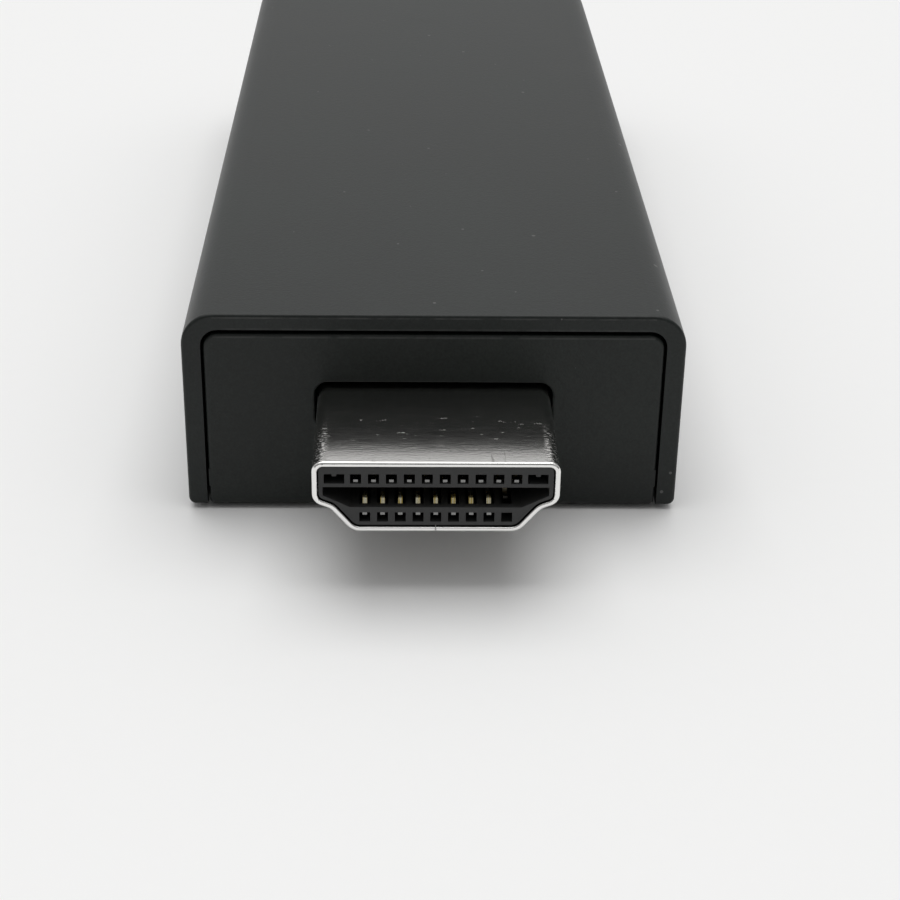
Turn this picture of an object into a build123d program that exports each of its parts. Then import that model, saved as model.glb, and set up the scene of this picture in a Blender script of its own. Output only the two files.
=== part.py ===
from build123d import *
import os

os.makedirs("parts", exist_ok=True)

# Sizes are millimetres. X runs across the case, Y along it with the plug at -Y, and Z up from the table.

# Case: a top cover over the sides and rear, and a chassis that closes the bottom and the front
case_width = 30.0
case_height = 13.1
case_length = 76.4
cover_wall = 1.15
cover_roof = 1.0
seam = 0.15
top_seam = 0.27
top_round = 2.05
corner_round = 2.6
foot_round = 0.45
rim_round = 0.2
base_lift = 0.3
base_inset = 1.5
base_corner = 2.0
base_edge = 0.1
floor_thickness = 1.6
front_wall = 1.6
face_round = 0.2
toe_round = 0.3
lip_thickness = 0.8
lip_height = 1.2

# Plug: the folded metal tube, measured on its outside
plug_reach = 9.6
plug_height = 6.25
plug_width = 13.9
plug_tall = 4.45
plug_side = 2.575
plug_shoulder = 2.975
plug_waist = 11.84
plug_base = 9.4
plug_top_round = 0.65
plug_side_round = 0.75
plug_neck_round = 0.8
plug_low_round = 1.0
plug_metal = 0.3
plug_lip_round = 0.15
plug_lip_inside = 0.08
plug_seam = 0.06
plug_root = 3.0
plug_gap = 0.21
opening_edge = 0.15

# Plug moulding: one slot for the mating tongue, and a channel for each contact
mould_setback = 0.08
mould_fit = 0.08
mould_lift = 0.04
slot_top = 0.63
slot_low = 0.66
slot_side = 0.09
slot_width = 12.7
slot_base = 9.66
slot_depth = 6.8
upper_row = 1.15
lower_row = 1.29
window_width = 0.62
window_tall = 0.6
end_window_width = 1.15
end_window_x = 5.7
end_nub = 0.26
bar_depth = 0.45
pitch = 1.0
upper_count = 10
lower_count = 9

# Contacts: stamped springs, bent once towards the slot and soldered to the board
contact_width = 0.25
contact_metal = 0.18
contact_fit = 0.02
tip_depth = 0.1
tip_drop = 0.18
tip_flat = 0.5
crest_depth = 1.05
crest_reach = 0.22
beam_depth = 3.4
bend = 0.3
short_setback = 1.9
tail_lead = 0.3
tail_length = 1.5

# Legs of the plug's metal tube, soldered on top of the board
leg_length = 3.2
leg_tall = 1.0
foot_length = 2.2
foot_reach = 1.2
peg_length = 0.9
peg_deep = 1.4
peg_fit = 0.1
saddle_width = 8.0
saddle_gap = 0.05

# Board and what carries it
board_thickness = 1.0
board_clear = 0.4
board_corner = 1.0
post_round = 1.6
screw_core = 0.7
screw_head_round = 1.3
screw_head_tall = 0.7
screw_head_edge = 0.25
screw_length = 3.6
screw_fit = 0.05
screw_edge = 2.25
drive_width = 0.35
drive_depth = 0.35
press_round = 0.7
press_gap = 0.1
press_edge = 1.1
press_pitch = 20.0

# Snap hooks along both sides
hook_pitch = 24.0
hook_width = 4.0
hook_height = 3.9
hook_tall = 1.0
hook_bite = 0.35
hook_fit = 0.1

# Radio shields, heat path and the room between them and the chips
chip_clear = 1.7
power_lead = 2.5
upper_shield = 2.2
lower_shield = 1.6
fence_metal = 0.2
fence_flange = 0.7
fence_round = 0.5
lid_metal = 0.15
lid_fit = 0.04
lid_skirt = 1.1
lid_clear = 0.3
top_plate = 0.8
bottom_plate = 0.6
plate_round = 1.0
pad_margin = 2.0
pad_round = 0.4

# Chips
processor_size = 14.0
processor_base = 0.35
processor_cap = 0.75
processor_edge = 0.6
processor_draft = 8
memory_width = 12.0
memory_length = 8.0
memory_tall = 1.0
chip_spacing = 1.6
storage_width = 13.0
storage_length = 11.5
storage_tall = 1.0
radio_size = 12.0
radio_tall = 1.7
radio_board = 0.4
radio_edge = 2.4
radio_gap = 0.4
radio_rim = 0.25
power_size = 5.0
power_tall = 0.85
chip_round = 0.1
pin_mark = 0.35
pin_mark_deep = 0.05
pin_mark_inset = 1.0

# Small parts
array_count = 3
array_width = 2.5
array_length = 1.0
array_tall = 0.5
filter_count = 4
filter_width = 1.25
filter_length = 1.0
filter_tall = 0.8
inductor_width = 2.5
inductor_length = 2.0
inductor_tall = 1.2
capacitor_count = 8
capacitor_length = 1.0
capacitor_width = 0.5
capacitor_cap = 0.25
capacitor_body = 0.45
crystal_width = 1.6
crystal_length = 2.0
crystal_tall = 0.6
crystal_gap = 0.5
part_gap = 1.0

# Power socket, on the +X side near the rear
socket_wide = 7.5
socket_tall = 2.5
socket_deep = 5.0
socket_metal = 0.25
socket_shoulder = 1.5
socket_foot = 5.9
socket_recess = 0.35
socket_from_rear = 10.5
socket_gap = 0.2
socket_opening_round = 0.6
socket_peg = 1.2
socket_block = 1.4
tongue_wide = 3.9
tongue_thick = 0.6
tongue_recess = 0.9
tongue_drop = 0.45
socket_count = 5
socket_pitch = 0.65
socket_contact = 0.26
socket_contact_metal = 0.12

# Antennas and the label
antenna_long = 9.0
antenna_tall = 3.4
antenna_top = 2.4
antenna_metal = 0.25
antenna_leg = 1.2
antenna_inset = 0.7
label_width = 20.0
label_length = 34.0
label_thickness = 0.1
label_recess = 0.15
label_round = 1.0
label_fit = 0.15

# Places worked out from the sizes above
total_length = case_length + plug_reach
tip_y = -total_length / 2
front_y = tip_y + plug_reach
rear_y = total_length / 2
middle_y = (front_y + rear_y) / 2
root_y = front_y + plug_root
face_y = tip_y + mould_setback
slot_end_y = face_y + slot_depth
cover_in_x = case_width / 2 - cover_wall
cover_in_top = case_height - cover_roof
chassis_x = cover_in_x - seam
chassis_top = cover_in_top - top_seam
chassis_rear = rear_y - cover_wall - seam
board_top = plug_height + board_thickness / 2
board_low = plug_height - board_thickness / 2
board_x = chassis_x - lip_thickness - board_clear
tail_z = board_thickness / 2 + contact_metal / 2
tail_start_y = root_y + tail_lead
board_front = tail_start_y + max(upper_row, lower_row) - tail_z + press_gap
board_rear = chassis_rear - lip_thickness - board_clear
press_x = board_x - press_edge
screw_x = board_x - screw_edge
lid_x = press_x - press_round - lid_clear
fence_x = lid_x - lid_metal - lid_fit
chips_length = processor_size + chip_spacing + memory_length
shield_length = chips_length + 2 * chip_clear
power_length = power_size + power_lead + part_gap + capacitor_width / 2
array_y = board_front + tail_length + part_gap
filter_y = array_y + array_length / 2 + part_gap + filter_length / 2
front_row_y = filter_y + filter_length / 2 + part_gap
rear_screw_y = board_rear - screw_edge - antenna_top - screw_head_round
radio_y = rear_screw_y - screw_head_round - radio_gap - radio_size / 2
free_front = front_row_y + capacitor_width / 2
free_rear = radio_y - radio_size / 2
shield_front = (free_front + free_rear - shield_length - power_length) / 2
shield_rear = shield_front + shield_length
shield_y = (shield_front + shield_rear) / 2
power_row = shield_rear + power_lead + power_size / 2
socket_y = board_rear - socket_from_rear
socket_mouth_x = case_width / 2 - socket_recess
socket_back_x = socket_mouth_x - socket_deep
socket_peg_x = socket_back_x + socket_peg
socket_peg_y = (socket_wide - socket_metal) / 2
plug_peg_x = (plug_width - plug_metal) / 2


def span(x_low, x_high, y_low, y_high, z_low, z_high, mode=Mode.ADD):
    """A plain box between two corners."""
    with Locations(((x_low + x_high) / 2, (y_low + y_high) / 2, (z_low + z_high) / 2)):
        Box(x_high - x_low, y_high - y_low, z_high - z_low, mode=mode)


def plate(x, y_low, y_high, z_low, thickness, corner):
    """A flat plate of half width x with rounded corners, standing on z_low."""
    with BuildPart() as piece:
        with BuildSketch(Plane.XY.offset(z_low)):
            with Locations((0, (y_low + y_high) / 2)):
                RectangleRounded(2 * x, y_high - y_low, corner)
        extrude(amount=thickness)
    return piece.part


def along(face):
    """The edges of a top or bottom face, without the one at the open front."""
    return face.edges().sort_by(Axis.Y)[1:]


def tray_form(half_width, rear, corner, top, top_edge=0.0, low_edge=0.0):
    """A block from the front of the case back, with square front corners and rounded rear ones."""
    with BuildPart() as form:
        with BuildSketch(Plane.XY.offset(base_lift)):
            with Locations((0, (front_y + rear) / 2)):
                Rectangle(2 * half_width, rear - front_y)
            fillet(vertices().sort_by(Axis.Y)[-2:], corner)
        extrude(amount=top - base_lift)
        if top_edge > 0:
            fillet(along(faces().sort_by(Axis.Z)[-1]), top_edge)
        if low_edge > 0:
            fillet(along(faces().sort_by(Axis.Z)[0]), low_edge)
    return form.part


def plug_plane(y):
    """The upright plane across the plug at y, with its origin on the plug's axis."""
    return Plane(origin=(0, y, plug_height), x_dir=(1, 0, 0), z_dir=(0, -1, 0))


def plug_section(inset=0.0):
    """The plug's outline, wide above and stepping in below, drawn in by inset, or out below zero."""
    top = plug_tall / 2
    half = [
        (plug_width / 2, top),
        (plug_width / 2, top - plug_side),
        (plug_waist / 2, top - plug_shoulder),
        (plug_base / 2, -top),
    ]
    rounds = [plug_top_round, plug_side_round, plug_neck_round, plug_low_round]
    mirrored = [(-x, z) for x, z in reversed(half)]
    with BuildSketch() as section:
        with BuildLine():
            FilletPolyline(*half, *mirrored, radius=rounds + rounds[::-1], close=True)
        make_face()
        if inset:
            offset(amount=-inset, mode=Mode.REPLACE)
    return section.sketch


def hook_places():
    """Three hooks on each side, evenly about the middle of the case."""
    return [middle_y + step * hook_pitch for step in (-1, 0, 1)]


screw_places = [
    (-screw_x, board_front + tail_length + screw_edge),
    (screw_x, board_front + tail_length + screw_edge),
    (-screw_x, rear_screw_y),
]
peg_place = (screw_x, socket_y - socket_wide / 2 - screw_edge - post_round)
press_places = [
    (side * press_x, shield_y + step * press_pitch / 2)
    for side in (-1, 1)
    for step in (-1, 1)
]


def outlines_hollow(edge):
    """True for the edges of the cover's front rim that border its hollow."""
    middle = edge.center()
    return abs(middle.X) <= cover_in_x and middle.Z <= cover_in_top


# Top cover: a rounded block, hollowed from below and open at the front
inner_corner = corner_round - cover_wall
inner_edge = top_round - cover_roof
cover_form = tray_form(case_width / 2, rear_y, corner_round, case_height, top_round, foot_round)
cover_hollow = tray_form(cover_in_x, rear_y - cover_wall, inner_corner, cover_in_top, inner_edge)
with BuildPart() as top_cover:
    add(cover_form)
    add(cover_hollow, mode=Mode.SUBTRACT)
    rim = faces().filter_by(Axis.Y).sort_by(Axis.Y)[0]
    outside = [edge for edge in rim.edges() if not outlines_hollow(edge)]
    fillet(outside, rim_round)
    # pockets that the chassis's hooks snap into
    for y in hook_places():
        for side in (-1, 1):
            pocket_low = hook_height - hook_fit
            pocket_far = cover_in_x + hook_bite + hook_fit
            pocket_high = hook_height + hook_tall + hook_fit
            half = hook_width / 2 + 2 * hook_fit
            inner, outer = sorted((side * (cover_in_x - hook_fit), side * pocket_far))
            span(inner, outer, y - half, y + half, pocket_low, pocket_high, Mode.SUBTRACT)
    # posts that press on the board's edges
    with BuildSketch(Plane.XY.offset(board_top + press_gap)):
        with Locations(*press_places):
            Circle(press_round)
    extrude(amount=cover_in_top - board_top - press_gap)
    # rib that presses on the root of the plug
    rib_front = front_y + front_wall + seam
    span(
        -plug_base / 2,
        plug_base / 2,
        rib_front,
        root_y - press_gap,
        plug_height + plug_tall / 2 + press_gap,
        cover_in_top,
    )
    # window for the power plug in the side wall
    with BuildSketch(Plane.YZ.offset(case_width / 2)):
        with Locations((socket_y, board_top + socket_tall / 2)):
            RectangleRounded(socket_wide + 2 * socket_gap, socket_tall + 2 * socket_gap, socket_opening_round)
    extrude(amount=-2 * cover_wall, mode=Mode.SUBTRACT)
    mouth = faces().sort_by(Axis.X)[-1].inner_wires()[0]
    chamfer(mouth.edges(), socket_gap)

# Chassis: the floor, the front wall with the plug's opening, and everything that carries the board
floor_form = tray_form(chassis_x, chassis_rear, inner_corner - seam, floor_thickness)
base_front = front_y + base_inset
base_form = plate(chassis_x - base_inset, base_front, chassis_rear - base_inset, 0, base_lift, base_corner)
opening_outline = plug_section(-plug_gap)
with BuildPart() as chassis:
    add(floor_form)
    with BuildSketch(Plane.XZ.offset(-front_y)):
        with Locations((0, (base_lift + chassis_top) / 2)):
            Rectangle(2 * chassis_x, chassis_top - base_lift)
        fillet(vertices().group_by(Axis.Y)[-1], inner_edge - seam)
    extrude(amount=-front_wall)
    fillet(faces().sort_by(Axis.Z)[0].edges(), toe_round)
    # low base under the floor, so that the case's edges stay just off the table
    add(base_form)
    fillet(faces().sort_by(Axis.Z)[0].edges(), base_edge)
    front_face = faces().filter_by(Axis.Y).sort_by(Axis.Y)[0]
    fillet([edge for edge in front_face.edges() if edge.center().Z > floor_thickness], face_round)
    # opening for the plug, which follows the plug's outline
    with BuildSketch(plug_plane(front_y)):
        add(opening_outline)
    extrude(amount=-front_wall, mode=Mode.SUBTRACT)
    opening = faces().filter_by(Axis.Y).sort_by(Axis.Y)[0].inner_wires()[0]
    fillet(opening.edges(), opening_edge)
    # low lip round the sides and the rear
    lip_front = front_y + front_wall
    with BuildSketch(Plane.XY.offset(floor_thickness)):
        with Locations((0, (front_y + chassis_rear) / 2)):
            Rectangle(2 * chassis_x, chassis_rear - front_y)
            fillet(vertices().sort_by(Axis.Y)[-2:], inner_corner - seam)
        with Locations((0, (front_y + chassis_rear - lip_thickness) / 2)):
            Rectangle(
                2 * (chassis_x - lip_thickness),
                chassis_rear - lip_thickness - front_y,
                mode=Mode.SUBTRACT,
            )
    extrude(amount=lip_height)
    # saddle under the root of the plug
    saddle_top = plug_height - plug_tall / 2 - saddle_gap
    span(-saddle_width / 2, saddle_width / 2, lip_front, root_y, floor_thickness, saddle_top)
    # snap hooks: an arm on the lip and a nib that catches the cover
    for y in hook_places():
        for side in (-1, 1):
            inner, outer = sorted((side * (chassis_x - lip_thickness), side * chassis_x))
            arm_top = hook_height + hook_tall
            span(inner, outer, y - hook_width / 2, y + hook_width / 2, floor_thickness, arm_top)
            nib_far = cover_in_x + hook_bite
            with BuildSketch(Plane.XZ.offset(-(y + hook_width / 2))):
                with BuildLine():
                    Polyline(
                        (side * chassis_x, hook_height),
                        (side * nib_far, hook_height),
                        (side * chassis_x, arm_top),
                        close=True,
                    )
                make_face()
            extrude(amount=hook_width)
    # posts under the board: screw bosses, and one with a locating peg
    with BuildSketch(Plane.XY.offset(floor_thickness)):
        with Locations(*screw_places, peg_place):
            Circle(post_round)
    extrude(amount=board_low - floor_thickness)
    with BuildSketch(Plane.XY.offset(board_low)):
        with Locations(*screw_places):
            Circle(screw_core + screw_fit)
    extrude(amount=-(screw_length - board_thickness + screw_fit), mode=Mode.SUBTRACT)
    with BuildSketch(Plane.XY.offset(board_low)):
        with Locations(peg_place):
            Circle(screw_core)
    extrude(amount=board_thickness + 2 * press_gap)
    # shallow panel in the base for the label
    with BuildSketch():
        with Locations((0, middle_y)):
            panel_width = label_width + 2 * label_fit
            panel_length = label_length + 2 * label_fit
            RectangleRounded(panel_width, panel_length, label_round + label_fit)
    extrude(amount=label_recess, mode=Mode.SUBTRACT)

# Label: a blank film in that panel, a little above the table
with BuildPart() as rating_label:
    with BuildSketch(Plane.XY.offset(label_recess - label_thickness)):
        with Locations((0, middle_y)):
            RectangleRounded(label_width, label_length, label_round)
    extrude(amount=label_thickness)

# Plug shell: a folded tube with its joint along the bottom, and two legs on the board
tube_outside = plug_section()
tube_inside = plug_section(plug_metal)
with BuildPart() as plug_shell:
    with BuildSketch(plug_plane(tip_y)):
        add(tube_outside)
        add(tube_inside, mode=Mode.SUBTRACT)
    extrude(amount=-(root_y - tip_y))
    tip = faces().sort_by(Axis.Y)[0]
    fillet(tip.outer_wire().edges(), plug_lip_round)
    tip = faces().sort_by(Axis.Y)[0]
    fillet(tip.inner_wires()[0].edges(), plug_lip_inside)
    side_x = plug_width / 2
    for side in (-1, 1):
        leg_in, leg_out = sorted((side * (side_x - plug_metal), side * side_x))
        span(leg_in, leg_out, root_y - plug_metal, root_y + leg_length, board_top, board_top + leg_tall)
        foot_in, foot_out = sorted((side * (side_x - foot_reach), side * side_x))
        leg_end = root_y + leg_length
        span(foot_in, foot_out, leg_end - foot_length, leg_end, board_top, board_top + plug_metal)
        span(leg_in, leg_out, leg_end - peg_length, leg_end, board_top - peg_deep, board_top)
    joint_low = plug_height - plug_tall / 2
    span(
        -plug_seam / 2,
        plug_seam / 2,
        tip_y,
        root_y,
        joint_low,
        joint_low + plug_metal,
        Mode.SUBTRACT,
    )

upper_x = [(number - (upper_count - 1) / 2) * pitch for number in range(upper_count)]
lower_x = [(number - (lower_count - 1) / 2) * pitch for number in range(lower_count)]

# Plug moulding: the slot, the windows and the channels behind them
mould_outline = plug_section(plug_metal + mould_fit)
with BuildPart() as plug_insulator:
    with BuildSketch(plug_plane(face_y)):
        with Locations((0, mould_lift)):
            add(mould_outline)
    extrude(amount=-(root_y - face_y))
    with BuildSketch(plug_plane(face_y)):
        with BuildLine():
            Polyline(
                (-slot_width / 2, slot_top),
                (slot_width / 2, slot_top),
                (slot_width / 2, slot_side),
                (slot_base / 2, -slot_low),
                (-slot_base / 2, -slot_low),
                (-slot_width / 2, slot_side),
                close=True,
            )
        make_face()
    extrude(amount=-slot_depth, mode=Mode.SUBTRACT)
    for places, row, edge in ((upper_x, upper_row, slot_top), (lower_x, -lower_row, -slot_low)):
        open_low, open_high = sorted((row, edge))
        snug_width = contact_width / 2 + contact_fit
        snug_tall = contact_metal / 2 + contact_fit
        centre = plug_height + row
        for x in places:
            left = x - window_width / 2
            right = x + window_width / 2
            half = window_tall / 2
            span(left, right, face_y, slot_end_y, centre - half, centre + half, Mode.SUBTRACT)
            span(
                left,
                right,
                face_y + bar_depth,
                slot_end_y,
                plug_height + open_low,
                plug_height + open_high,
                Mode.SUBTRACT,
            )
            span(
                x - snug_width,
                x + snug_width,
                slot_end_y,
                root_y,
                centre - snug_tall,
                centre + snug_tall,
                Mode.SUBTRACT,
            )
    for side in (-1, 1):
        centre = plug_height + upper_row
        half = end_window_width / 2
        top = centre + window_tall / 2
        x = side * end_window_x
        span(x - half, x + half, face_y, slot_end_y, centre - window_tall / 2, top, Mode.SUBTRACT)
        nub = end_nub / 2
        span(x - nub, x + nub, face_y, slot_end_y, top - nub, top)


def contact(row, slot_edge, setback=0.0):
    """One upper contact: tip in its window, crest in the slot, beam in its channel, tail on the board."""
    beam_z = plug_height + row
    turn_y = tail_start_y + row - tail_z
    with BuildPart() as piece:
        with BuildLine(Plane.YZ) as path:
            FilletPolyline(
                (face_y + tip_depth + setback, beam_z - tip_drop),
                (face_y + tip_depth + tip_flat + setback, beam_z - tip_drop),
                (face_y + crest_depth + setback, plug_height + slot_edge - crest_reach),
                (face_y + beam_depth + setback, beam_z),
                (tail_start_y, beam_z),
                (turn_y, plug_height + tail_z),
                (board_front + tail_length, plug_height + tail_z),
                radius=bend,
            )
        with BuildSketch(Plane(origin=path.line @ 0, x_dir=(1, 0, 0), z_dir=path.line % 0)):
            Rectangle(contact_width, contact_metal)
        sweep()
    return piece.part


upper_contact = contact(upper_row, slot_top)
lower_contact = contact(lower_row, slot_low)
short_contact = contact(lower_row, slot_low, short_setback)
with BuildPart() as plug_upper_contacts:
    with Locations(*[(x, 0, 0) for x in upper_x]):
        add(upper_contact)

# the lower row hangs under the board, and its last contact stands further back
with BuildPart() as plug_lower_contacts:
    with Locations(*[(x, 0, 0) for x in lower_x[:-1]]):
        add(lower_contact)
    with Locations((lower_x[-1], 0, 0)):
        add(short_contact)
    mirror(about=Plane.XY.offset(plug_height), mode=Mode.REPLACE)

# Board: holes for the screws and the peg, slots for the plug's and the socket's soldered pegs
with BuildPart() as main_board:
    with BuildSketch(Plane.XY.offset(board_low)):
        with Locations((0, (board_front + board_rear) / 2)):
            RectangleRounded(2 * board_x, board_rear - board_front, board_corner)
        with Locations(*screw_places, peg_place):
            Circle(screw_core + peg_fit, mode=Mode.SUBTRACT)
        peg_y = root_y + leg_length - peg_length / 2
        with Locations((-plug_peg_x, peg_y), (plug_peg_x, peg_y)):
            Rectangle(plug_metal + 2 * peg_fit, peg_length + 2 * peg_fit, mode=Mode.SUBTRACT)
        with Locations(*[(socket_peg_x, socket_y + side * socket_peg_y) for side in (-1, 1)]):
            Rectangle(socket_peg + 2 * peg_fit, socket_metal + 2 * peg_fit, mode=Mode.SUBTRACT)
    extrude(amount=board_thickness)

# Screws: pan heads with a cross drive, seated on the board
with BuildPart() as board_screws:
    with BuildSketch(Plane.XY.offset(board_top)):
        with Locations(*screw_places):
            Circle(screw_head_round)
    extrude(amount=screw_head_tall)
    fillet(faces().group_by(Axis.Z)[-1].edges(), screw_head_edge)
    with BuildSketch(Plane.XY.offset(board_top)):
        with Locations(*screw_places):
            Circle(screw_core)
    extrude(amount=-screw_length)
    with BuildSketch(Plane.XY.offset(board_top + screw_head_tall)):
        with Locations(*screw_places):
            Rectangle(drive_width, screw_head_round)
            Rectangle(screw_head_round, drive_width)
    extrude(amount=-drive_depth, mode=Mode.SUBTRACT)


def shield_ring(half_width, z_low, height, thickness):
    """An upright wall round the shield area, as far out from it in Y as half_width is in X."""
    length = shield_rear - shield_front + 2 * (half_width - fence_x)
    with BuildPart() as ring:
        with BuildSketch(Plane.XY.offset(z_low)):
            with Locations((0, shield_y)):
                RectangleRounded(2 * half_width, length, fence_round)
                Rectangle(2 * (half_width - thickness), length - 2 * thickness, mode=Mode.SUBTRACT)
        extrude(amount=height)
    return ring.part


def shield_frame(height):
    """A fence soldered to the board, with a narrow flange turned in along its top."""
    fence = shield_ring(fence_x, board_top, height, fence_metal)
    flange = shield_ring(fence_x, board_top + height - fence_metal, fence_metal, fence_flange)
    return fence + flange


def shield_lid(height):
    """A shallow lid that closes the fence and clips down over its outside."""
    margin = lid_x - fence_x
    top = board_top + height
    roof = plate(lid_x, shield_front - margin, shield_rear + margin, top, lid_metal, fence_round)
    return roof + shield_ring(lid_x, top - lid_skirt, lid_skirt, lid_metal)


def under_board(part):
    """The same part hanging below the board."""
    return mirror(part, about=Plane.XY.offset(plug_height))


def chip(x, y, width, length, height, z_low):
    """A moulded package with a pin one mark in its corner."""
    with BuildPart() as package:
        with Locations((x, y, z_low + height / 2)):
            Box(width, length, height)
        top = faces().sort_by(Axis.Z)[-1]
        fillet(top.edges(), chip_round)
        with BuildSketch(Plane.XY.offset(z_low + height)):
            with Locations((x - width / 2 + pin_mark_inset, y + length / 2 - pin_mark_inset)):
                Circle(pin_mark)
        extrude(amount=-pin_mark_deep, mode=Mode.SUBTRACT)
    return package.part


upper_shield_frame = shield_frame(upper_shield)
upper_shield_lid = shield_lid(upper_shield)
lower_shield_frame = under_board(shield_frame(lower_shield))
lower_shield_lid = under_board(shield_lid(lower_shield))

# Chips inside the upper shield: the processor, and the memory behind it
processor_y = shield_y - chips_length / 2 + processor_size / 2
memory_y = shield_y + chips_length / 2 - memory_length / 2
processor_top = board_top + processor_base + processor_cap
with BuildPart() as processor:
    with Locations((0, processor_y, board_top + processor_base / 2)):
        Box(processor_size, processor_size, processor_base)
    with BuildSketch(Plane.XY.offset(board_top + processor_base)):
        with Locations((0, processor_y)):
            Rectangle(processor_size - 2 * processor_edge, processor_size - 2 * processor_edge)
    extrude(amount=processor_cap, taper=processor_draft)
    corner = processor_size / 2 - processor_edge - pin_mark_inset
    with BuildSketch(Plane.XY.offset(processor_top)):
        with Locations((-corner, processor_y + corner)):
            Circle(pin_mark)
    extrude(amount=-pin_mark_deep, mode=Mode.SUBTRACT)
memory_chip = chip(0, memory_y, memory_width, memory_length, memory_tall, board_top)
storage_chip = under_board(chip(0, shield_y, storage_width, storage_length, storage_tall, board_top))

# Rear zone: the power parts behind the shield, then the radio, then the socket and the antennas
radio_x = radio_size / 2 + radio_edge - board_x
power_manager = chip(-power_size, power_row, power_size, power_size, power_tall, board_top)
with BuildPart() as radio_module:
    with Locations((radio_x, radio_y, board_top + radio_board / 2)):
        Box(radio_size, radio_size, radio_board)
    with BuildSketch(Plane.XY.offset(board_top + radio_board)):
        with Locations((radio_x, radio_y)):
            RectangleRounded(radio_size - 2 * radio_rim, radio_size - 2 * radio_rim, fence_round)
    extrude(amount=radio_tall - radio_board)
    fillet(faces().sort_by(Axis.Z)[-1].edges(), chip_round)


def small_part(width, length, height, edge):
    """One small package standing on the board at the origin, with softened edges."""
    with BuildPart() as package:
        with Locations((0, 0, board_top + height / 2)):
            Box(width, length, height)
        fillet(package.edges().filter_by(Axis.Z), edge)
    return package.part


# Behind the plug: surge arrays, then the line filters, each row centred on the plug
array = small_part(array_width, array_length, array_tall, chip_round)
with BuildPart() as surge_arrays:
    with Locations((0, array_y, 0)):
        with GridLocations(array_width + part_gap, 1, array_count, 1):
            add(array)
line_filter = small_part(filter_width, filter_length, filter_tall, chip_round)
with BuildPart() as line_filters:
    with Locations((0, filter_y, 0)):
        with GridLocations(filter_width + part_gap, 1, filter_count, 1):
            add(line_filter)
inductor = small_part(inductor_width, inductor_length, inductor_tall, chip_round)
with BuildPart() as power_inductors:
    with Locations((power_size, power_row, 0)):
        with GridLocations(inductor_width + part_gap, inductor_length + part_gap, 2, 2):
            add(inductor)

# Ceramic capacitors: a body with two end caps, in rows across the board above and below
with BuildPart() as capacitor:
    with Locations((0, 0, board_top + capacitor_width / 2)):
        Box(capacitor_length, capacitor_body, capacitor_body)
    end_x = (capacitor_length - capacitor_cap) / 2
    with Locations(*[(x, 0, board_top + capacitor_width / 2) for x in (-end_x, end_x)]):
        Box(capacitor_cap, capacitor_width, capacitor_width)
capacitor_rows = [
    front_row_y,
    shield_rear + part_gap,
    power_row + power_size / 2 + part_gap,
]
with BuildPart() as ceramic_capacitors:
    for y in capacitor_rows:
        with Locations((0, y, 0)):
            with GridLocations(capacitor_length + part_gap, 1, capacitor_count, 1):
                add(capacitor.part)

# Crystals: one beside the memory, one beside the radio
crystal = small_part(crystal_width, crystal_length, crystal_tall, chip_round)
memory_crystal_x = fence_x - fence_metal - crystal_gap - crystal_width / 2
radio_crystal_x = radio_x + radio_size / 2 + crystal_width / 2 + crystal_gap
with BuildPart() as crystals:
    with Locations((memory_crystal_x, memory_y, 0), (radio_crystal_x, radio_y, 0)):
        add(crystal)

# Heat path: pads on the chips, pads on the lids, and a plate against each half of the case
upper_lid_top = board_top + upper_shield + lid_metal
lower_lid_low = board_low - lower_shield - lid_metal
pad_x = lid_x - pad_margin
pad_front = shield_front + pad_margin
pad_rear = shield_rear - pad_margin
top_plate_low = cover_in_top - top_plate
bottom_plate_top = floor_thickness + bottom_plate
cap_half = processor_size / 2 - processor_edge - pad_round
processor_pad = plate(
    cap_half,
    processor_y - cap_half,
    processor_y + cap_half,
    processor_top,
    board_top + upper_shield - processor_top,
    pad_round,
)
storage_half = storage_length / 2 - pad_round
storage_pad = plate(
    storage_width / 2 - pad_round,
    shield_y - storage_half,
    shield_y + storage_half,
    board_low - lower_shield,
    lower_shield - storage_tall,
    pad_round,
)
upper_pad_tall = top_plate_low - upper_lid_top
lower_pad_tall = lower_lid_low - bottom_plate_top
upper_lid_pad = plate(pad_x, pad_front, pad_rear, upper_lid_top, upper_pad_tall, pad_round)
lower_lid_pad = plate(pad_x, pad_front, pad_rear, bottom_plate_top, lower_pad_tall, pad_round)
top_heat_plate = plate(lid_x, shield_front, shield_rear + pad_margin, top_plate_low, top_plate, plate_round)
bottom_heat_plate = plate(lid_x, shield_front, shield_rear, floor_thickness, bottom_plate, plate_round)


def antenna(side):
    """A stamped antenna on one rear corner: two soldered feet, an upright wall and a folded top."""
    near, far = sorted((side * part_gap, side * (part_gap + antenna_long)))
    wall_y = board_rear - antenna_inset
    leg_top = board_top + antenna_leg
    top = board_top + antenna_tall
    with BuildPart() as piece:
        span(near, far, wall_y - antenna_metal, wall_y, leg_top, top)
        span(near, far, wall_y - antenna_top, wall_y, top - antenna_metal, top)
        for x in (near, far - antenna_leg):
            span(x, x + antenna_leg, wall_y - antenna_metal, wall_y, board_top, leg_top)
            span(x, x + antenna_leg, wall_y - antenna_leg, wall_y, board_top, board_top + antenna_metal)
    return piece.part


left_antenna = antenna(-1)
right_antenna = antenna(1)


def socket_section(inset=0.0):
    """The socket's outline, with its lower corners cut in, standing on the board."""
    half = [
        (socket_wide / 2, socket_tall),
        (socket_wide / 2, socket_tall - socket_shoulder),
        (socket_foot / 2, 0),
    ]
    mirrored = [(-y, z) for y, z in reversed(half)]
    with BuildSketch() as section:
        with BuildLine():
            FilletPolyline(*half, *mirrored, radius=2 * socket_metal, close=True)
        make_face()
        if inset > 0:
            offset(amount=-inset, mode=Mode.REPLACE)
    return section.sketch


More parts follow.
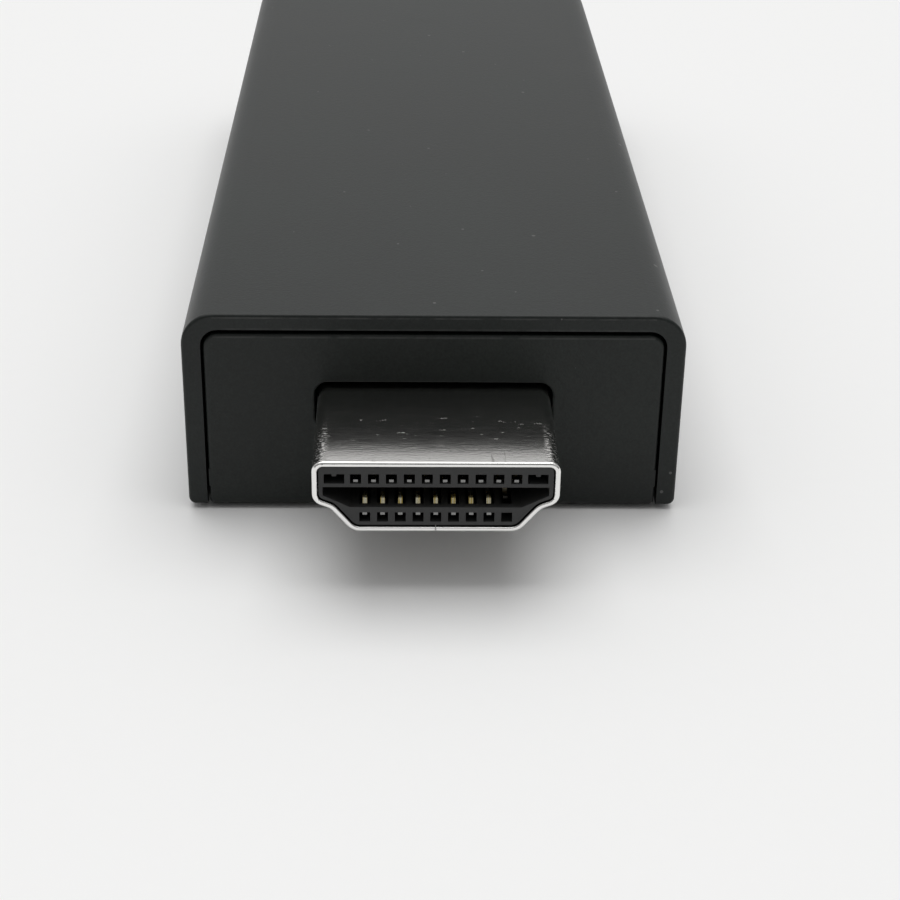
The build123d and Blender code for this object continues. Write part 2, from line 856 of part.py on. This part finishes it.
# Power socket: a folded shell with two pegs through the board, a moulded tongue and five contacts
socket_outside = socket_section()
socket_inside = socket_section(socket_metal)
socket_moulding = socket_section(socket_metal + contact_fit)
mouth_plane = Plane(origin=(socket_mouth_x, socket_y, board_top), x_dir=(0, 1, 0), z_dir=(1, 0, 0))
back_plane = Plane(origin=(socket_back_x, socket_y, board_top), x_dir=(0, 1, 0), z_dir=(1, 0, 0))
tongue_top = board_top + socket_tall - socket_metal - tongue_drop
tongue_low = tongue_top - tongue_thick
strip_z = tongue_low - socket_contact_metal / 2
with BuildPart() as socket_shell:
    with BuildSketch(mouth_plane):
        add(socket_outside)
        add(socket_inside, mode=Mode.SUBTRACT)
    extrude(amount=-socket_deep)
    for side in (-1, 1):
        wall_in, wall_out = sorted((side * (socket_wide / 2 - socket_metal), side * socket_wide / 2))
        span(
            socket_peg_x - socket_peg / 2,
            socket_peg_x + socket_peg / 2,
            socket_y + wall_in,
            socket_y + wall_out,
            board_low - press_gap,
            board_top + socket_tall - socket_shoulder + socket_metal,
        )
with BuildPart() as socket_tongue:
    with BuildSketch(back_plane):
        add(socket_moulding)
    extrude(amount=socket_block)
    half = tongue_wide / 2
    tongue_end = socket_mouth_x - tongue_recess
    span(socket_back_x, tongue_end, socket_y - half, socket_y + half, tongue_low, tongue_top)
    channel_tall = socket_contact_metal + 2 * contact_fit
    with Locations((socket_back_x + socket_block / 2, socket_y, strip_z)):
        with GridLocations(1, socket_pitch, 1, socket_count):
            Box(socket_block, socket_contact + 2 * contact_fit, channel_tall, mode=Mode.SUBTRACT)
with BuildPart() as socket_contact_strip:
    with BuildLine(Plane.XZ) as path:
        FilletPolyline(
            (tongue_end - tongue_recess / 2, strip_z),
            (socket_back_x - socket_metal, strip_z),
            (socket_back_x - socket_metal, board_top + socket_contact_metal / 2),
            (socket_back_x - socket_metal - tongue_recess, board_top + socket_contact_metal / 2),
            radius=socket_contact_metal,
        )
    with BuildSketch(Plane(origin=path.line @ 0, x_dir=(0, 1, 0), z_dir=path.line % 0)):
        Rectangle(socket_contact, socket_contact_metal)
    sweep()
with BuildPart() as socket_contacts:
    with Locations((0, socket_y, 0)):
        with GridLocations(1, socket_pitch, 1, socket_count):
            add(socket_contact_strip.part)

pieces = {
    "top_cover": top_cover.part,
    "chassis": chassis.part,
    "rating_label": rating_label.part,
    "plug_shell": plug_shell.part,
    "plug_insulator": plug_insulator.part,
    "plug_upper_contacts": plug_upper_contacts.part,
    "plug_lower_contacts": plug_lower_contacts.part,
    "main_board": main_board.part,
    "board_screws": board_screws.part,
    "upper_shield_frame": upper_shield_frame,
    "upper_shield_lid": upper_shield_lid,
    "lower_shield_frame": lower_shield_frame,
    "lower_shield_lid": lower_shield_lid,
    "processor": processor.part,
    "memory_chip": memory_chip,
    "storage_chip": storage_chip,
    "power_manager": power_manager,
    "radio_module": radio_module.part,
    "surge_arrays": surge_arrays.part,
    "line_filters": line_filters.part,
    "power_inductors": power_inductors.part,
    "ceramic_capacitors": ceramic_capacitors.part,
    "crystals": crystals.part,
    "processor_pad": processor_pad,
    "storage_pad": storage_pad,
    "upper_lid_pad": upper_lid_pad,
    "lower_lid_pad": lower_lid_pad,
    "top_heat_plate": top_heat_plate,
    "bottom_heat_plate": bottom_heat_plate,
    "left_antenna": left_antenna,
    "right_antenna": right_antenna,
    "socket_shell": socket_shell.part,
    "socket_tongue": socket_tongue.part,
    "socket_contacts": socket_contacts.part,
}
for name, piece in pieces.items():
    piece.label = name
    export_step(piece, f"parts/{name}.step")
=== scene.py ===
# %% [markdown]
# # A streaming stick, seen from its video plug
#
# The object is a flat black media stick. A U-shaped top cover wraps a chassis that shows as an
# inset front panel, and a folded metal plug stands out of that panel. Every rigid piece comes
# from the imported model, already in place and in metres, so this lesson is about three things:
# where the camera stands, how soft light makes black plastic and satin metal readable, and how
# each surface gets its own finish.

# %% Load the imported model
from math import radians

import bpy
from mathutils import Euler, Matrix, Vector


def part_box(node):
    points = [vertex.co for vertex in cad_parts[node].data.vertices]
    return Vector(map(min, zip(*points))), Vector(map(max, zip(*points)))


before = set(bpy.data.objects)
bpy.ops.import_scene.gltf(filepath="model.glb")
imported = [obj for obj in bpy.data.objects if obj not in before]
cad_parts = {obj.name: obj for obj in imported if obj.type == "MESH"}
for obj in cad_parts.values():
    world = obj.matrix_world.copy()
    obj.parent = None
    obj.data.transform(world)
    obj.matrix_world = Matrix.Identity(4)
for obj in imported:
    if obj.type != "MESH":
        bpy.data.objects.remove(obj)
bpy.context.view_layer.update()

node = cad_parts

# %% [markdown]
# ## Camera
#
# The photograph looks down at the plug from just in front of it, about 28 degrees above the
# table, with strong perspective because the lens is near. A camera can be placed by eye, but
# the plug has a standard size, so its edges and the case's edges give the place and the lens
# closely. The lens is about 77 mm on a 36 mm wide sensor, 11 cm from the plug's tip.

# %% Camera at the photograph's viewpoint
camera_place = Vector((-0.00212, -0.13640, 0.05942))
look_down = radians(28.21)
look_right = radians(1.75)
camera_roll = radians(1.01)

camera_data = bpy.data.cameras.new("photo_camera")
camera_data.lens = 76.75
camera_data.sensor_width = 36.0
camera_data.clip_start = 0.005
camera_data.clip_end = 20.0
camera = bpy.data.objects.new("photo_camera", camera_data)
bpy.context.scene.collection.objects.link(camera)
aim = Euler((radians(90) - look_down, 0.0, -look_right)).to_matrix()
aim = aim @ Matrix.Rotation(camera_roll, 3, "Z")
camera.matrix_world = Matrix.Translation(camera_place) @ aim.to_4x4()
bpy.context.scene.camera = camera
print("camera", round(camera_place.length, 4), "m from the middle of the case's footprint")

# %% [markdown]
# ## The sheet that the stick lies on
#
# The stick lies on a white sheet so wide that no edge of it shows. It could be a swept backdrop,
# but a wall behind the stick would hide the white tent that its top and the plug mirror. So the
# sheet is flat, two and a half metres each way from the stick, with its corners cut round. It
# lies a hair under the stick's base, because two faces in one plane would flicker.


# %% A wide flat sheet
def choose_vertices(piece, wanted):
    """In edit mode, select the vertices of a mesh whose place passes the test."""
    bpy.ops.object.mode_set(mode="EDIT")
    bpy.ops.mesh.select_mode(type="VERT")
    bpy.ops.mesh.select_all(action="DESELECT")
    bpy.ops.object.mode_set(mode="OBJECT")
    for vertex in piece.data.vertices:
        vertex.select = wanted(vertex.co)
    bpy.ops.object.mode_set(mode="EDIT")


sheet_half = 2.5
sheet_drop = 0.00001
corner_cut = 0.6 * sheet_half
bpy.ops.object.select_all(action="DESELECT")
bpy.ops.mesh.primitive_plane_add(size=2 * sheet_half, location=(0, 0, -sheet_drop))
sheet = bpy.context.object
sheet.name = "studio_sheet"
choose_vertices(sheet, lambda place: place.length > sheet_half)
bpy.ops.mesh.bevel(offset=corner_cut, segments=12, affect="VERTICES")
bpy.ops.object.mode_set(mode="OBJECT")
print("sheet of", len(sheet.data.vertices), "corners")

# %% [markdown]
# ## Finishes: effects that several materials share
#
# Real moulded plastic isn't flat: the mould was spark eroded, so the skin carries a fine grain
# about a tenth of a millimetre across. It could be an image, but a noise pattern in the
# object's own coordinates has no seams and holds at any zoom. Grain and scratches are used by
# many finishes, so each is one node group that reads a place.


# %% Node helpers
def new_group(name, inputs, outputs):
    """A shader node group with the named inputs and outputs."""
    group = bpy.data.node_groups.new(name, "ShaderNodeTree")
    for label, kind in inputs:
        group.interface.new_socket(label, in_out="INPUT", socket_type=kind)
    for label, kind in outputs:
        group.interface.new_socket(label, in_out="OUTPUT", socket_type=kind)
    start = group.nodes.new("NodeGroupInput")
    end = group.nodes.new("NodeGroupOutput")
    return group, start, end


def math_node(tree, operation, first, second=0.0, third=None):
    """A Math node; each argument is a number or another node's output socket."""
    made = tree.nodes.new("ShaderNodeMath")
    made.operation = operation
    for socket, value in zip(made.inputs, (first, second, third)):
        if value is None:
            continue
        if isinstance(value, (int, float)):
            socket.default_value = value
        else:
            tree.links.new(value, socket)
    return made.outputs[0]


def noise(tree, where, scale, detail=2.0, stretch=(1, 1, 1)):
    """Noise in the given coordinates, denser along the axes with a larger stretch."""
    mapping = tree.nodes.new("ShaderNodeMapping")
    mapping.inputs["Scale"].default_value = stretch
    tree.links.new(where, mapping.inputs["Vector"])
    made = tree.nodes.new("ShaderNodeTexNoise")
    made.inputs["Scale"].default_value = scale
    made.inputs["Detail"].default_value = detail
    tree.links.new(mapping.outputs[0], made.inputs["Vector"])
    return made.outputs["Fac"]


def ramp(tree, value, low, high):
    """0 below low, 1 above high, and a smooth step between them."""
    made = tree.nodes.new("ShaderNodeMapRange")
    made.interpolation_type = "SMOOTHSTEP"
    made.inputs["From Min"].default_value = low
    made.inputs["From Max"].default_value = high
    tree.links.new(value, made.inputs["Value"])
    return made.outputs["Result"]


def band(tree, value, low, high, soft):
    """1 between low and high, and 0 a soft step outside them."""
    inside = ramp(tree, value, low - soft, low)
    outside = ramp(tree, value, high, high + soft)
    return math_node(tree, "SUBTRACT", inside, outside)


# %% Moulded grain: fine height for the bump, and slow patches for tone and gloss
grain_group, g_in, g_out = new_group(
    "moulded_grain",
    [("Place", "NodeSocketVector")],
    [("Height", "NodeSocketFloat"), ("Patches", "NodeSocketFloat"), ("Specks", "NodeSocketFloat")],
)
fine = noise(grain_group, g_in.outputs["Place"], 6500.0, 2.0)
coarse = noise(grain_group, g_in.outputs["Place"], 2600.0, 2.0)
height = math_node(grain_group, "MULTIPLY_ADD", coarse, 0.6, fine)
patches = noise(grain_group, g_in.outputs["Place"], 110.0, 4.0)
dust = grain_group.nodes.new("ShaderNodeTexVoronoi")
dust.inputs["Scale"].default_value = 520.0
dust.inputs["Randomness"].default_value = 1.0
grain_group.links.new(g_in.outputs["Place"], dust.inputs["Vector"])
rare = noise(grain_group, g_in.outputs["Place"], 260.0, 1.0)
dust_size = math_node(grain_group, "MULTIPLY_ADD", rare, 0.16, -0.045)
speck = math_node(grain_group, "LESS_THAN", dust.outputs["Distance"], dust_size)
grain_group.links.new(height, g_out.inputs["Height"])
grain_group.links.new(patches, g_out.inputs["Patches"])
grain_group.links.new(speck, g_out.inputs["Specks"])
print("groups:", [group.name for group in bpy.data.node_groups])

# %% Scratches: noise drawn out along one axis, for each of two directions
scratch_group, s_in, s_out = new_group(
    "fine_scratches",
    [("Place", "NodeSocketVector")],
    [("Along", "NodeSocketFloat"), ("Across", "NodeSocketFloat")],
)
along = noise(scratch_group, s_in.outputs["Place"], 900.0, 4.0, (6.0, 0.35, 6.0))
across = noise(scratch_group, s_in.outputs["Place"], 900.0, 4.0, (0.35, 6.0, 6.0))
scratch_group.links.new(along, s_out.inputs["Along"])
scratch_group.links.new(across, s_out.inputs["Across"])
print("groups:", [group.name for group in bpy.data.node_groups])


# %% What every material starts from: shader, coordinates and bump
def start_material(name, colour, roughness, metallic=0.0, shine=0.5):
    """A material with one Principled BSDF and the Object coordinates it reads."""
    material = bpy.data.materials.new(name)
    material.use_nodes = True
    tree = material.node_tree
    shader = tree.nodes["Principled BSDF"]
    shader.inputs["Base Color"].default_value = (*colour, 1.0)
    shader.inputs["Roughness"].default_value = roughness
    shader.inputs["Metallic"].default_value = metallic
    shader.inputs["Specular IOR Level"].default_value = shine
    where = tree.nodes.new("ShaderNodeTexCoord").outputs["Object"]
    return material, tree, shader, where


def place_group(tree, group, where):
    """Put a shared group into a material and give it the coordinates."""
    made = tree.nodes.new("ShaderNodeGroup")
    made.node_tree = group
    tree.links.new(where, made.inputs["Place"])
    return made.outputs


def bump(tree, shader, height, depth):
    """Feed a height through a Bump node; depth is in metres."""
    made = tree.nodes.new("ShaderNodeBump")
    made.inputs["Distance"].default_value = depth
    made.inputs["Strength"].default_value = 1.0
    tree.links.new(height, made.inputs["Height"])
    tree.links.new(made.outputs["Normal"], shader.inputs["Normal"])


def place_axes(tree, where):
    """The X, Y and Z of a place, as three sockets."""
    split = tree.nodes.new("ShaderNodeSeparateXYZ")
    tree.links.new(where, split.inputs[0])
    return split.outputs["X"], split.outputs["Y"], split.outputs["Z"]


def blend_colour(tree, amount, first, second):
    """A colour between two others by amount; each is a colour or a socket."""
    made = tree.nodes.new("ShaderNodeMix")
    made.data_type = "RGBA"
    tree.links.new(amount, made.inputs["Factor"])
    for socket, value in ((made.inputs["A"], first), (made.inputs["B"], second)):
        if isinstance(value, tuple):
            socket.default_value = (*value, 1.0)
        else:
            tree.links.new(value, socket)
    return made.outputs["Result"]


# %% [markdown]
# ## Black moulded plastic
#
# The cover and the chassis are matte black plastic. Black is never zero: about two per cent of
# the light comes back as grey, and the rest of what the camera sees is the white tent mirrored
# in the skin. So the base colour stays very dark, and roughness with grain spreads the mirror
# image into an even sheen.


# %% Moulded plastic for the case, with places in metres
case_low, case_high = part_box("top_cover")
case_front = case_low[1]
case_top = case_high[2]
inset_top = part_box("chassis")[1][2]
highlight_depth = 0.00015
highlight_soft = 0.00004
straight_half = 0.0131


def painted_highlight_line(tree, where, line_z, half_width):
    """A thin level line on the front, a painted highlight where the rounded edge of the moulding
    catches the light.
    """
    across, along_case, up = place_axes(tree, where)
    on_front = math_node(tree, "LESS_THAN", along_case, case_front + highlight_depth)
    line = band(tree, up, line_z - half_width, line_z + half_width, highlight_soft)
    middle = math_node(tree, "LESS_THAN", math_node(tree, "ABSOLUTE", across), straight_half)
    broken = ramp(tree, noise(tree, where, 900.0, 3.0), 0.3, 0.6)
    line = math_node(tree, "MULTIPLY", line, math_node(tree, "MULTIPLY", on_front, middle))
    return math_node(tree, "MULTIPLY", line, broken)


def case_plastic(name, colour, highlight_and_dust, roughness, depth, lines=()):
    """Grained plastic with pale dust specks and painted highlight lines; each line is its height,
    half width and strength.
    """
    material, tree, shader, where = start_material(name, colour, roughness, shine=0.3)
    grain = place_group(tree, grain_group, where)
    slow = ramp(tree, grain["Patches"], 0.3, 0.7)
    tone = ramp(tree, math_node(tree, "MULTIPLY_ADD", slow, 0.4, grain["Height"]), 0.6, 1.5)
    dark = tuple(0.7 * c for c in colour)
    pale = tuple(1.3 * c for c in colour)
    shade = blend_colour(tree, tone, dark, pale)
    # Each line paints a highlight: a paler colour where a rounded front edge catches the light.
    for line_z, half_width, strength in lines:
        highlight = math_node(tree, "MULTIPLY", painted_highlight_line(tree, where, line_z, half_width), strength)
        shade = blend_colour(tree, highlight, shade, highlight_and_dust)
    shade = blend_colour(tree, grain["Specks"], shade, highlight_and_dust)
    tree.links.new(shade, shader.inputs["Base Color"])
    gloss = math_node(tree, "MULTIPLY_ADD", grain["Patches"], 0.08, roughness - 0.04)
    tree.links.new(gloss, shader.inputs["Roughness"])
    bump(tree, shader, grain["Height"], depth)
    return material


# The pale colour of the painted highlight lines on the front edges, also used for the dust specks.
highlight_and_dust_pale = (0.09, 0.09, 0.088)
cover_highlight_lines = ((case_top - 0.00022, 0.00003, 0.35), (case_top - 0.00095, 0.00004, 0.22))
inset_highlight_lines = ((inset_top - 0.00018, 0.00004, 0.3),)
cover_plastic = case_plastic(
    "cover_plastic", (0.0109, 0.0139, 0.0127), highlight_and_dust_pale, 0.42, 0.000011, cover_highlight_lines
)
chassis_plastic = case_plastic(
    "chassis_plastic", (0.0118, 0.0149, 0.0133), highlight_and_dust_pale, 0.46, 0.000012, inset_highlight_lines
)
label_film = case_plastic("label_film", (0.045, 0.046, 0.047), (0.15, 0.15, 0.15), 0.36, 0.000004)
print("rubbed lines at", [round(line[0], 5) for line in cover_highlight_lines])

# %% [markdown]
# ## Plain metals
#
# The shields, the heat plates, the antennas and the power socket are rolled and stamped sheet,
# with fine lines from the rolling. The lines could be cut in the mesh, but they are far finer
# than its faces. A metal's colour is all reflection, so they act on roughness and height far
# more than on colour.


# %% Tin plate, steel, aluminium and plated lids
def worn_metal(name, colour, dark, roughness, spread, depth):
    """Sheet metal with fine lines in two directions that turn its colour towards dark."""
    material, tree, shader, where = start_material(name, colour, roughness, 1.0)
    lines = place_group(tree, scratch_group, where)
    shade = blend_colour(tree, lines["Along"], colour, dark)
    tree.links.new(shade, shader.inputs["Base Color"])
    gloss = math_node(tree, "MULTIPLY_ADD", lines["Along"], spread, roughness - spread / 2)
    tree.links.new(gloss, shader.inputs["Roughness"])
    both = math_node(tree, "MULTIPLY_ADD", lines["Along"], 0.3, lines["Across"])
    bump(tree, shader, both, depth)
    return material


micron = 0.000001
shield_tin = worn_metal(
    "shield_tin", (0.66, 0.66, 0.64), (0.55, 0.55, 0.53), 0.38, 0.2, 6 * micron
)
socket_steel = worn_metal(
    "socket_steel", (0.62, 0.62, 0.61), (0.5, 0.5, 0.49), 0.32, 0.15, 6 * micron
)
screw_steel = worn_metal("screw_steel", (0.5, 0.5, 0.5), (0.38, 0.38, 0.38), 0.34, 0.15, 6 * micron)
crystal_can = worn_metal("crystal_can", (0.7, 0.68, 0.62), (0.6, 0.58, 0.52), 0.3, 0.1, 3 * micron)
heat_plate = worn_metal("heat_plate", (0.74, 0.74, 0.75), (0.64, 0.64, 0.65), 0.42, 0.2, 8 * micron)
antenna_metal = worn_metal(
    "antenna_metal", (0.68, 0.64, 0.55), (0.56, 0.52, 0.44), 0.36, 0.15, 5 * micron
)

# %% [markdown]
# ## The plug's nickel plate
#
# The plug's own plate needs more care, because it is the brightest thing in the picture. Its top
# mirrors the dark front of the case, and only the last two millimetres mirror the white tent. Fine
# streaks across the plug break up that boundary. They could be painted light and dark, but as
# height they also glint when the light moves. Four places differ by where they are: the folded
# long edges are rough and catch light from the sides, small nicks lie where a socket's springs
# press, a few dents run in from the tip, and the tip's front edge gets a paler colour, a painted
# reflection that brightens its mirror image of the white sheet.

# %% Places on the plug: masks made from its own coordinates
millimetre = 0.001
plug_low, plug_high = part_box("plug_shell")
tip_y = plug_low[1]
plug_half = plug_high[0]
plug_nickel, tree, shader, where = start_material("plug_nickel", (0.68, 0.67, 0.65), 0.14, 1.0)
across, along_plug, up = place_axes(tree, where)
from_middle = math_node(tree, "ABSOLUTE", across)
painted_bright_lip = math_node(tree, "LESS_THAN", along_plug, tip_y + 0.1 * millimetre)
edge_inner = plug_half - 0.6 * millimetre
edge_outer = plug_half - 0.3 * millimetre
at_edge = band(tree, from_middle, edge_inner, edge_outer, 0.35 * millimetre)
sheltered = ramp(tree, along_plug, tip_y + 2.5 * millimetre, tip_y + 6 * millimetre)
pressed = band(
    tree, along_plug, tip_y + 2.7 * millimetre, tip_y + 5.2 * millimetre, 0.8 * millimetre
)
near_tip = math_node(tree, "LESS_THAN", along_plug, tip_y + 1.6 * millimetre)
print("plug tip at", round(tip_y, 5), "half width", round(plug_half, 5))

# %% Streaks, glints, nicks and dents in those places
streaks = noise(tree, where, 1000.0, 4.0, (1.1, 7.5, 7.5))
glints = noise(tree, where, 1000.0, 2.0, (4.5, 7.0, 7.0))
folded = math_node(tree, "MULTIPLY", at_edge, math_node(tree, "SUBTRACT", 1.0, sheltered))
folded = math_node(tree, "MULTIPLY", folded, ramp(tree, glints, 0.4, 0.75))
nicks = ramp(tree, noise(tree, where, 1000.0, 3.0, (1.2, 11.0, 11.0)), 0.685, 0.75)
nicks = math_node(tree, "MULTIPLY", nicks, pressed)
dents = ramp(tree, noise(tree, where, 1000.0, 2.0, (4.0, 0.5, 0.5)), 0.66, 0.72)
dents = math_node(tree, "MULTIPLY", dents, near_tip)
shade = blend_colour(tree, streaks, (0.66, 0.65, 0.63), (0.75, 0.74, 0.72))
shade = blend_colour(tree, math_node(tree, "MULTIPLY", dents, 0.55), shade, (0.3, 0.29, 0.27))
# A paler colour on the tip's front edge is a painted reflection of the white sheet.
shade = blend_colour(tree, painted_bright_lip, shade, (0.86, 0.855, 0.84))
tree.links.new(shade, shader.inputs["Base Color"])
gloss = math_node(tree, "MULTIPLY_ADD", streaks, 0.1, 0.1)
gloss = math_node(tree, "MULTIPLY_ADD", folded, 0.2, gloss)
gloss = math_node(tree, "MULTIPLY_ADD", nicks, 0.14, gloss)
tree.links.new(gloss, shader.inputs["Roughness"])
height = math_node(tree, "MULTIPLY_ADD", glints, 0.9, streaks)
height = math_node(tree, "MULTIPLY_ADD", nicks, -1.2, height)
height = math_node(tree, "MULTIPLY", height, math_node(tree, "MULTIPLY_ADD", folded, 2.4, 1.0))
bump(tree, shader, height, 3 * micron)
print(plug_nickel.name, "uses", len(tree.nodes), "nodes")

# %% [markdown]
# ## Gold contacts
#
# The contacts are gold where the mating plug wipes them. Their cut tips, seen in the windows,
# show the grey base metal, and further in they are rougher, with a darker colour that is painted
# shade for the depth of the slot. Each could have its own material, but the place along the plug
# tells the three apart in one.

# %% Gold contacts with grey tips
contact_gold, tree, shader, where = start_material("contact_gold", (0.95, 0.8, 0.42), 0.26, 1.0)
along_contact = place_axes(tree, where)[1]
wiped_start = tip_y + 0.55 * millimetre
wiped_end = tip_y + 1.8 * millimetre
wiped = band(tree, along_contact, wiped_start, wiped_end, 0.1 * millimetre)
painted_slot_shade = ramp(tree, along_contact, wiped_end, tip_y + 2.6 * millimetre)
fine = noise(tree, where, 5000.0, 3.0)
rolled = ramp(tree, noise(tree, where, 6000.0, 2.0, (1.6, 0.12, 0.12)), 0.4, 0.6)
gold = blend_colour(tree, rolled, (0.72, 0.55, 0.16), (1.0, 0.95, 0.72))
shade = blend_colour(tree, wiped, (0.24, 0.24, 0.235), gold)
# Further in, a darker brownish colour is painted shade for the depth of the slot.
shade = blend_colour(tree, painted_slot_shade, shade, (0.5, 0.45, 0.34))
tree.links.new(shade, shader.inputs["Base Color"])
gloss = math_node(tree, "MULTIPLY_ADD", fine, 0.16, 0.2)
gloss = math_node(tree, "MULTIPLY_ADD", painted_slot_shade, 0.2, gloss)
tree.links.new(gloss, shader.inputs["Roughness"])
bump(tree, shader, fine, 3 * micron)
print("contacts wiped from", round(wiped_start, 5), "to", round(wiped_end, 5))

# %% [markdown]
# ## Inner mouldings, chips and pads
#
# The plug's insulator is glass filled plastic, a little greyer than the case. The parts inside
# are hidden in normal use, but each still has the skin that its kind has: solder mask, moulded
# chip bodies, fired ceramic and soft silicone. They share the case's grain, with a tone and a
# gloss of their own.


# %% Plain moulded skins
def moulded(name, colour, roughness, depth, spread=0.1):
    """A grained skin whose tone and gloss drift in slow patches."""
    material, tree, shader, where = start_material(name, colour, roughness, shine=0.3)
    grain = place_group(tree, grain_group, where)
    dark = tuple(0.85 * c for c in colour)
    pale = tuple(1.15 * c for c in colour)
    shade = blend_colour(tree, grain["Patches"], dark, pale)
    tree.links.new(shade, shader.inputs["Base Color"])
    gloss = math_node(tree, "MULTIPLY_ADD", grain["Patches"], spread, roughness - spread / 2)
    tree.links.new(gloss, shader.inputs["Roughness"])
    bump(tree, shader, grain["Height"], depth)
    return material


plug_moulding = moulded("plug_moulding", (0.038, 0.0385, 0.0385), 0.42, 6 * micron)
socket_moulding = moulded("socket_moulding", (0.02, 0.02, 0.021), 0.45, 6 * micron)
chip_moulding = moulded("chip_moulding", (0.025, 0.025, 0.027), 0.5, 8 * micron)
coil_ferrite = moulded("coil_ferrite", (0.12, 0.12, 0.125), 0.55, 6 * micron)
capacitor_ceramic = moulded("capacitor_ceramic", (0.42, 0.33, 0.22), 0.4, 3 * micron)
thermal_pad = moulded("thermal_pad", (0.34, 0.4, 0.46), 0.75, 10 * micron)
board_laminate = moulded("board_laminate", (0.02, 0.09, 0.05), 0.35, 5 * micron)
print("materials so far:", len(bpy.data.materials))

# %% Give each piece its finish
finish_of = {
    "top_cover": cover_plastic,
    "chassis": chassis_plastic,
    "rating_label": label_film,
    "plug_shell": plug_nickel,
    "plug_insulator": plug_moulding,
    "plug_upper_contacts": contact_gold,
    "plug_lower_contacts": contact_gold,
    "main_board": board_laminate,
    "board_screws": screw_steel,
    "upper_shield_frame": shield_tin,
    "upper_shield_lid": shield_tin,
    "lower_shield_frame": shield_tin,
    "lower_shield_lid": shield_tin,
    "processor": chip_moulding,
    "memory_chip": chip_moulding,
    "storage_chip": chip_moulding,
    "power_manager": chip_moulding,
    "radio_module": shield_tin,
    "surge_arrays": chip_moulding,
    "line_filters": coil_ferrite,
    "power_inductors": coil_ferrite,
    "ceramic_capacitors": capacitor_ceramic,
    "crystals": crystal_can,
    "processor_pad": thermal_pad,
    "storage_pad": thermal_pad,
    "upper_lid_pad": thermal_pad,
    "lower_lid_pad": thermal_pad,
    "top_heat_plate": heat_plate,
    "bottom_heat_plate": heat_plate,
    "left_antenna": antenna_metal,
    "right_antenna": antenna_metal,
    "socket_shell": socket_steel,
    "socket_tongue": socket_moulding,
    "socket_contacts": contact_gold,
}
for name, finish in finish_of.items():
    for slot in node[name].material_slots:
        slot.material = finish
print("pieces without a finish:", sorted(set(node) - set(finish_of)))

# %% [markdown]
# ## The sheet's colour and the lamps
#
# The sheet is white paper, so it reflects nearly nine tenths of the light. The tent is the
# world: white above and behind, and dim on the side where the camera looks in, which is why
# the photographed front is so much darker than the top. It could be a real box of cloth, but a
# world has no corners to mirror. One wide lamp overhead adds the rest and gives the soft shadow
# under the plug. The camera itself sees a plain white world.

# %% White sheet
sheet_white, tree, shader, where = start_material("sheet_white", (0.87, 0.87, 0.868), 0.75)
fibres = noise(tree, where, 900.0, 3.0)
tone = blend_colour(tree, fibres, (0.866, 0.866, 0.863), (0.874, 0.874, 0.872))
tree.links.new(tone, shader.inputs["Base Color"])
sheet.data.materials.append(sheet_white)
print("sheet has", [slot.name for slot in sheet.material_slots])

# %% The tent: white above and behind, dim on the side where the camera looks in
world = bpy.data.worlds.new("tent")
bpy.context.scene.world = world
world.use_nodes = True
sky = world.node_tree
background = sky.nodes["Background"]
direction = sky.nodes.new("ShaderNodeTexCoord").outputs["Generated"]
split = sky.nodes.new("ShaderNodeSeparateXYZ")
sky.links.new(direction, split.inputs[0])
behind = math_node(sky, "MULTIPLY", split.outputs["Y"], 0.75)
facing = math_node(sky, "MULTIPLY_ADD", split.outputs["Z"], 1.3, behind)
tent_level = sky.nodes.new("ShaderNodeMapRange")
tent_level.interpolation_type = "SMOOTHSTEP"
for label, value in (("From Min", -0.5), ("From Max", 1.8), ("To Min", 0.12), ("To Max", 0.81)):
    tent_level.inputs[label].default_value = value
sky.links.new(facing, tent_level.inputs["Value"])
seen = sky.nodes.new("ShaderNodeLightPath").outputs["Is Camera Ray"]
level = blend_colour(sky, seen, tent_level.outputs["Result"], (0.87, 0.87, 0.867))
sky.links.new(level, background.inputs["Color"])
background.inputs["Strength"].default_value = 1.0
print("world", world.name, "has", len(sky.nodes), "nodes")

# %% One wide lamp overhead, a little behind the stick
lamp_width = 6.0
lamp_data = bpy.data.lights.new("overhead_softbox", "AREA")
lamp_data.shape = "RECTANGLE"
lamp_data.size = lamp_width
lamp_data.size_y = lamp_width
lamp_data.energy = 236.0
lamp_data.color = (1.0, 1.0, 0.995)
lamp = bpy.data.objects.new("overhead_softbox", lamp_data)
bpy.context.scene.collection.objects.link(lamp)
lamp.location = (0.0, 1.3, 6.0)
lamp.rotation_euler = (-0.21, 0.0, 0.0)
print("lamp", lamp_data.energy, "W at", tuple(round(c, 2) for c in lamp.location))

# %% [markdown]
# ## Colour handling
#
# A film-like view transform would lift the blacks and grey the sheet, so the plain one is used.

# %% Plain colour handling
bpy.context.scene.view_settings.view_transform = "Standard"
print("view transform", bpy.context.scene.view_settings.view_transform)
